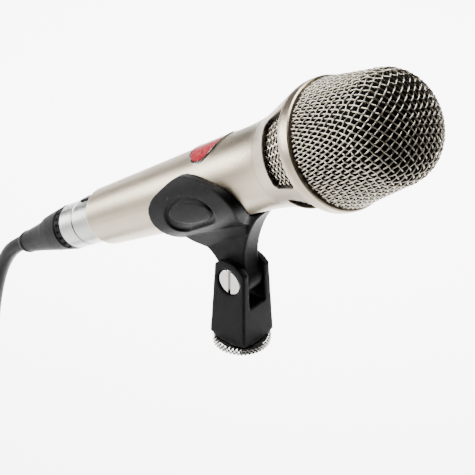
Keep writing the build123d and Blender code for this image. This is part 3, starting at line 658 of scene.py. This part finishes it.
def grille_profile(inset):
    """The grille's form as a polyline from nose to rim, radius along X and station along Z."""
    length = nose_length - inset
    shoulder = shoulder_radius - inset
    points = []
    for k in range(dome_steps + 1):
        turn = pi / 2 * (1 - k / dome_steps)
        radius = shoulder * max(cos(turn), 0) ** (2 / dome_power)
        points.append((radius, 0, shoulder_station + length * sin(turn) ** (2 / dome_power)))
    for k in range(1, skirt_steps + 1):
        share = k / skirt_steps
        radius = shoulder + (rim_radius - inset - shoulder) * share
        points.append((radius, 0, shoulder_station + (rim_station - shoulder_station) * share))
    return points


wire_finish = finish_material(
    "champagne_wire", (0.60, 0.54, 0.44), (0.70, 0.63, 0.52), 0.27, metallic=1.0, grain=1800,
    blotch=300, bump=0.05, spread=0.08,
)
paint(wire_finish, "outer_grille")
profile_data = bpy.data.curves.new("grille_profile", "CURVE")
profile_data.dimensions = "3D"
profile_line = profile_data.splines.new("POLY")
profile_points = grille_profile(cloth_inset)
profile_line.points.add(len(profile_points) - 1)
for control, place in zip(profile_line.points, profile_points):
    control.co = (*place, 1)
profile_object = bpy.data.objects.new("grille_profile", profile_data)
bpy.context.scene.collection.objects.link(profile_object)

mic_matrix = Matrix((side, -upward, ahead)).transposed().to_4x4()
mic_matrix.translation = tail
grille_mesh = meshed(
    "woven_grille",
    drawn_cloth_tree(profile_object),
    {
        "Pitch": weave_pitch,
        "Reach": cloth_reach,
        "Lift": weave_lift,
        "Turn": weave_turn,
        "Wire Radius": weave_wire,
        "Material": wire_finish,
        "Draw": cloth_draw,
    },
    mic_matrix,
)
bpy.data.objects.remove(profile_object)
grille = make_piece("woven_grille", grille_mesh, "head", wire_finish, "outer_grille")

# --- Vent weave: a band of wire cloth behind the four windows -------------------------------------
# A strip of crimped wire cloth, plated like the grille, bent round into a ring and pressed against the
# inside of the head. Its ends meet at a seam out of sight.
vent_pitch = 0.0021
vent_wire = 0.00030
vent_lift = 0.00026
vent_start = 0.1206
vent_end = 0.1365
vent_inset = 0.00085
lining_radius = 0.0178
lining_slope = 0.3133
seam_angle = radians(203)
share_used = 0.7


def ringed_cloth_tree():
    """The cloth bent round the axis: distance along X becomes angle, along Y becomes station."""
    extra = {"Middle": "Float", "Half Height": "Float", "Start Angle": "Float"}
    tree, given, result = new_tree("ringed_cloth", weave_inputs | extra)
    build = Builder(tree)
    cloth = flat_cloth(build, given["Pitch"], given["Reach"], given["Lift"], given["Turn"])
    place = build.node("GeometryNodeInputPosition").outputs[0]
    at = build.node("ShaderNodeSeparateXYZ", Vector=place).outputs
    too_high = build.math("GREATER_THAN", build.math("ABSOLUTE", at["Y"]), given["Half Height"])
    half_turn = build.math("MULTIPLY", given["Reach"], share_used)
    too_far = build.math("GREATER_THAN", build.math("ABSOLUTE", at["X"]), half_turn)
    kept = build.node(
        "GeometryNodeDeleteGeometry",
        {"domain": "POINT"},
        Geometry=cloth,
        Selection=build.math("MAXIMUM", too_high, too_far),
    )
    swept = build.math("MULTIPLY", build.math("DIVIDE", at["X"], half_turn), pi)
    angle = build.math("ADD", swept, given["Start Angle"])
    station = build.math("ADD", at["Y"], given["Middle"])
    slope = build.math("MULTIPLY", build.math("SUBTRACT", station, lining_from), lining_slope)
    radius = build.math("ADD", build.math("ADD", slope, lining_radius - vent_inset), at["Z"])
    ring = build.node(
        "ShaderNodeCombineXYZ",
        X=build.math("MULTIPLY", radius, build.math("COSINE", angle)),
        Y=build.math("MULTIPLY", radius, build.math("SINE", angle)),
        Z=station,
    )
    bent = build.node("GeometryNodeSetPosition", Geometry=kept.outputs[0], Position=ring.outputs[0])
    solid = wires_from(build, bent.outputs[0], given["Wire Radius"], given["Material"])
    tree.links.new(solid, result.inputs[0])
    return tree


paint(wire_finish, "vent_mesh")
vent_middle = (vent_start + vent_end) / 2
vent_round = pi * (lining_radius - vent_inset + lining_slope * (vent_middle - lining_from))
vent_mesh = meshed(
    "vent_weave",
    ringed_cloth_tree(),
    {
        "Pitch": vent_pitch,
        "Reach": vent_round / share_used,
        "Lift": vent_lift,
        "Turn": pi / 4,
        "Wire Radius": vent_wire,
        "Material": wire_finish,
        "Middle": vent_middle,
        "Half Height": (vent_end - vent_start) / 2,
        "Start Angle": seam_angle + pi,
    },
    mic_matrix,
)
vent_weave = make_piece("vent_weave", vent_mesh, "head", wire_finish, "vent_mesh")

# --- Inside: capsule, shock mount, transformer and output board -----------------------------------
# Machined alloy holds soft iron round a magnet, with a copper coil glued to a film diaphragm over felt.
# The capsule hangs in soft rubber; insulated wires run to the transformer's can and to the board.
alloy = finish_material("machined_alloy", (0.42, 0.42, 0.42), (0.52, 0.52, 0.52), 0.35, metallic=1.0)
iron = finish_material("soft_iron", (0.25, 0.24, 0.23), (0.34, 0.33, 0.31), 0.45, metallic=1.0)
copper = finish_material("copper_wire", (0.55, 0.22, 0.10), (0.66, 0.30, 0.15), 0.35, metallic=1.0)
film = finish_material("polyester_film", (0.55, 0.50, 0.35), (0.65, 0.60, 0.45), 0.2)
felt = finish_material("grey_felt", (0.16, 0.16, 0.16), (0.26, 0.26, 0.26), 0.95, bump=0.9)
insulation = finish_material("wire_insulation", (0.38, 0.03, 0.03), (0.5, 0.05, 0.04), 0.45)
board_mask = finish_material("solder_mask", (0.01, 0.12, 0.05), (0.02, 0.17, 0.07), 0.3)
rubber = finish_material(
    "soft_rubber", (0.003, 0.003, 0.003), (0.006, 0.006, 0.006), 0.45, bump=0.4, spread=0.1,
    settings=low_gloss,
)
paint(alloy, "capsule_housing", "capsule_cap", "capsule_carrier")
paint(iron, "magnet_yoke", "capsule_magnet", "pole_piece", "transformer_core")
paint(copper, "voice_coil", "transformer_winding")
paint(film, "diaphragm")
paint(felt, "capsule_felt")
paint(insulation, "capsule_wires", "output_wires")
paint(board_mask, "output_board")
paint(rubber, "shock_mount")
paint(dark_steel, "transformer_can")
paint(dark_cloth, "can_cushion")

# --- Connectors: the microphone's insert, its plug and the line plug ------------------------------
# The plugs' shells are turned and nickel plated, with the lathe's rings left in them. Gold-flashed pins
# and sockets sit in black insulators, and a nylon latch snaps the plug in.
plug_nickel_dark = (0.46, 0.45, 0.44)
plug_nickel_light = (0.60, 0.59, 0.58)
ring_scale = 2600
ring_relief = 0.5
ring_gloss = 0.08
ring_matt = 0.42


def turned_metal(name, axis):
    """Plated metal with the fine rings that a lathe leaves, round the given axis."""
    material = finish_material(
        name, plug_nickel_dark, plug_nickel_light, 0.2, metallic=1.0, grain=900, bump=0.0, spread=0.04
    )
    build = Builder(material.node_tree)
    surface = material.node_tree.nodes["Principled BSDF"].inputs
    place = build.node("ShaderNodeTexCoord").outputs["Object"]
    rings = build.node(
        "ShaderNodeTexNoise",
        {"noise_dimensions": "1D"},
        W=build.vector("DOT_PRODUCT", place, axis),
        Scale=ring_scale,
        Detail=4,
        Roughness=0.7,
    ).outputs["Fac"]
    gloss = build.node("ShaderNodeMapRange", Value=rings, To_Min=ring_gloss, To_Max=ring_matt)
    relief = build.node("ShaderNodeBump", Strength=ring_relief, Distance=relief_depth, Height=rings)
    build.feed(surface["Roughness"], gloss.outputs["Result"])
    build.feed(surface["Normal"], relief.outputs["Normal"])
    return material


gold = finish_material("gold_flash", (0.72, 0.50, 0.18), (0.82, 0.60, 0.26), 0.22, metallic=1.0)
paint(turned_metal("turned_nickel", ahead), "plug_shell")
paint(turned_metal("line_nickel", (0, 0, 1)), "line_plug_shell")
paint(gold, "socket_pins", "plug_contacts", "line_plug_pins")
paint(rubber, "socket_insert", "plug_insert", "plug_chuck", "line_plug_insert", "line_plug_boot")
paint(black_nylon, "latch_button")

# --- Plug's boot: notched ring, stepped top and a lip at its end ----------------------------------
# Soft black rubber, moulded in one piece and screwed on behind the plug. The notches give grip and the
# taper keeps the cable from kinking.
boot_line = [
    (-0.0218, 0.00935), (-0.0252, 0.0094), (-0.0256, 0.0087), (-0.0266, 0.0087), (-0.0272, 0.0091),
    (-0.0358, 0.0081), (-0.0493, 0.0061), (-0.0585, 0.0050), (-0.0600, 0.0052), (-0.0613, 0.0049),
]
boot_around = 176
boot_steps = 158
boot_notches = 22
notch_depth = 0.0006
notch_start = -0.0229
notch_end = -0.0248
notch_share = 0.35
step_station = -0.0405
step_run = 0.0006
step_depth = 0.0007
throat_station = -0.0183
throat_radius = 0.0079
mouth_radius = 0.0033


def boot_radius(station, spin):
    """Outside of the boot at this station, spin counted from the top of the microphone."""
    for (start, first), (end, last) in zip(boot_line, boot_line[1:]):
        if end <= station <= start:
            radius = first + (last - first) * (start - station) / (start - end)
            break
    if notch_end < station < notch_start and cos(boot_notches * spin) > notch_share:
        radius -= notch_depth
    if station < step_station:
        ramp = min(1.0, (step_station - station) / step_run)
        radius -= step_depth * ramp * max(0.0, cos(spin)) ** 2
    return radius


def boot_mesh():
    """Closed skin of the boot: rings along the microphone's axis, drawn in to the plug and the cable."""
    stations = [round(-plug_visible - boot_length * k / boot_steps, 6) for k in range(boot_steps + 1)]
    skin = [(station, None) for station in stations]
    ends = [(throat_station, throat_radius), (stations[-1], mouth_radius)]
    shape = bmesh.new()
    rows = []
    for station, fixed_radius in ends[:1] + skin + ends[1:]:
        middle = tail + ahead * station
        row = []
        for k in range(boot_around):
            spin = 2 * pi * k / boot_around
            radius = fixed_radius or boot_radius(station, spin)
            row.append(shape.verts.new(middle + (upward * cos(spin) + side * sin(spin)) * radius))
        rows.append(row)
    for first, second in zip(rows, rows[1:]):
        for k in range(boot_around):
            j = (k + 1) % boot_around
            shape.faces.new((first[k], first[j], second[j], second[k]))
    shape.faces.new(rows[0])
    shape.faces.new(rows[-1])
    bmesh.ops.recalc_face_normals(shape, faces=shape.faces)
    mesh = bpy.data.meshes.new("moulded_boot")
    shape.to_mesh(mesh)
    shape.free()
    for polygon in mesh.polygons:
        polygon.use_smooth = len(polygon.vertices) == 4
    return mesh


paint(rubber, "plug_boot")
boot = make_piece("moulded_boot", boot_mesh(), "lead", rubber, "plug_boot")

# --- Coil tie: hook-and-loop tape round the bundle ------------------------------------------------
# A soft woven strap pulled tight over the turns, so it dips between them and its end lies over its
# start.
tie_middle = 90
tie_half_sweep = 13
tie_around = 96
tie_across = 16
tie_thickness = 0.0012
bundle_radius = 0.0163
dip_depth = 0.00045
ripple_depth = 0.00012
lap_height = 0.0011
lap_start = 1.2
lap_end = 2.3
lap_slope = 9
edge_drop = 0.0003


def strap_reach(spin, share, layer):
    """Strap's distance from the middle of the bundle, on its outer layer or, at layer 0, its inner."""
    dip = dip_depth * cos(6 * spin) + ripple_depth * sin(11 * spin + 3 * share)
    if layer == 0:
        return bundle_radius + dip
    rising = max(0.0, min(1.0, (spin - lap_start) * lap_slope))
    falling = max(0.0, min(1.0, (lap_end - spin) * lap_slope))
    return bundle_radius + dip + layer + lap_height * rising * falling - edge_drop * share**6


def strap_mesh():
    """Closed strap round the bundle: an outer and an inner skin joined along both edges."""
    shape = bmesh.new()
    skins = []
    for layer in (tie_thickness, 0.0):
        rows = []
        for j in range(tie_across + 1):
            share = 2 * j / tie_across - 1
            turn = tie_middle + tie_half_sweep * share
            row = []
            for i in range(tie_around):
                spin = 2 * pi * i / tie_around
                reach = strap_reach(spin, share, layer)
                place = on_coil(turn, coil_radius + reach * cos(spin), reach * sin(spin))
                row.append(shape.verts.new(place))
            rows.append(row)
        skins.append(rows)
    outer, inner = skins
    strips = list(zip(outer, outer[1:])) + list(zip(inner[1:], inner))
    strips += [(inner[0], outer[0]), (outer[-1], inner[-1])]
    for first, second in strips:
        for i in range(tie_around):
            k = (i + 1) % tie_around
            shape.faces.new((first[i], first[k], second[k], second[i]))
    bmesh.ops.recalc_face_normals(shape, faces=shape.faces)
    mesh = bpy.data.meshes.new("coil_strap")
    shape.to_mesh(mesh)
    shape.free()
    for polygon in mesh.polygons:
        polygon.use_smooth = True
    return mesh


strap_cloth = finish_material(
    "strap_cloth", (0.012, 0.012, 0.013), (0.035, 0.035, 0.037), 0.85, grain=1500, bump=0.9, spread=0.1
)
paint(strap_cloth, "coil_tie")
strap = make_piece("coil_strap", strap_mesh(), "lead", strap_cloth, "coil_tie")

# --- Floor and light: pale paper under the coil, and four soft boxes ------------------------------
world_strength = 0.03
floor_height = -0.45
floor_reach = 6.0
floor_corners = ((-1, -1), (1, -1), (1, 1), (-1, 1))
floor_mesh = bpy.data.meshes.new("floor")
floor_mesh.from_pydata(
    [(x * floor_reach, y * floor_reach, floor_height) for x, y in floor_corners],
    [],
    [(0, 1, 2, 3)],
)
floor = bpy.data.objects.new("floor", floor_mesh)
bpy.context.scene.collection.objects.link(floor)
floor_mesh.materials.append(
    finish_material("pale_floor", (0.9, 0.9, 0.9), (0.92, 0.92, 0.92), 0.8, grain=40, blotch=2, bump=0.0)
)

world = bpy.data.worlds.new("studio")
bpy.context.scene.world = world
world.use_nodes = True
world.node_tree.nodes["Background"].inputs["Color"].default_value = (1, 1, 1, 1)
world.node_tree.nodes["Background"].inputs["Strength"].default_value = world_strength


def softbox(name, place, target, size, power):
    """A rectangular area light at place, aimed at target."""
    data = bpy.data.lights.new(name, "AREA")
    data.shape = "RECTANGLE"
    data.size, data.size_y = size
    data.energy = power
    lamp = bpy.data.objects.new(name, data)
    lamp.location = place
    lamp.rotation_euler = (Vector(target) - Vector(place)).to_track_quat("-Z", "Y").to_euler()
    bpy.context.scene.collection.objects.link(lamp)
    return lamp


softbox("overhead", (-0.40, 0.10, 0.95), (0, 0, 0.06), (0.9, 0.6), 18)
softbox("left_front", (-0.80, -0.80, 0.40), (0, 0, 0.05), (0.5, 0.9), 12)
softbox("left_side", (-0.95, -0.36, 0.10), (0, 0, 0.07), (0.42, 0.34), 6)
softbox("floor_wash", (-0.62, 0.78, 0.1), (-0.62, 0.78, floor_height), (1.5, 1.3), 85)
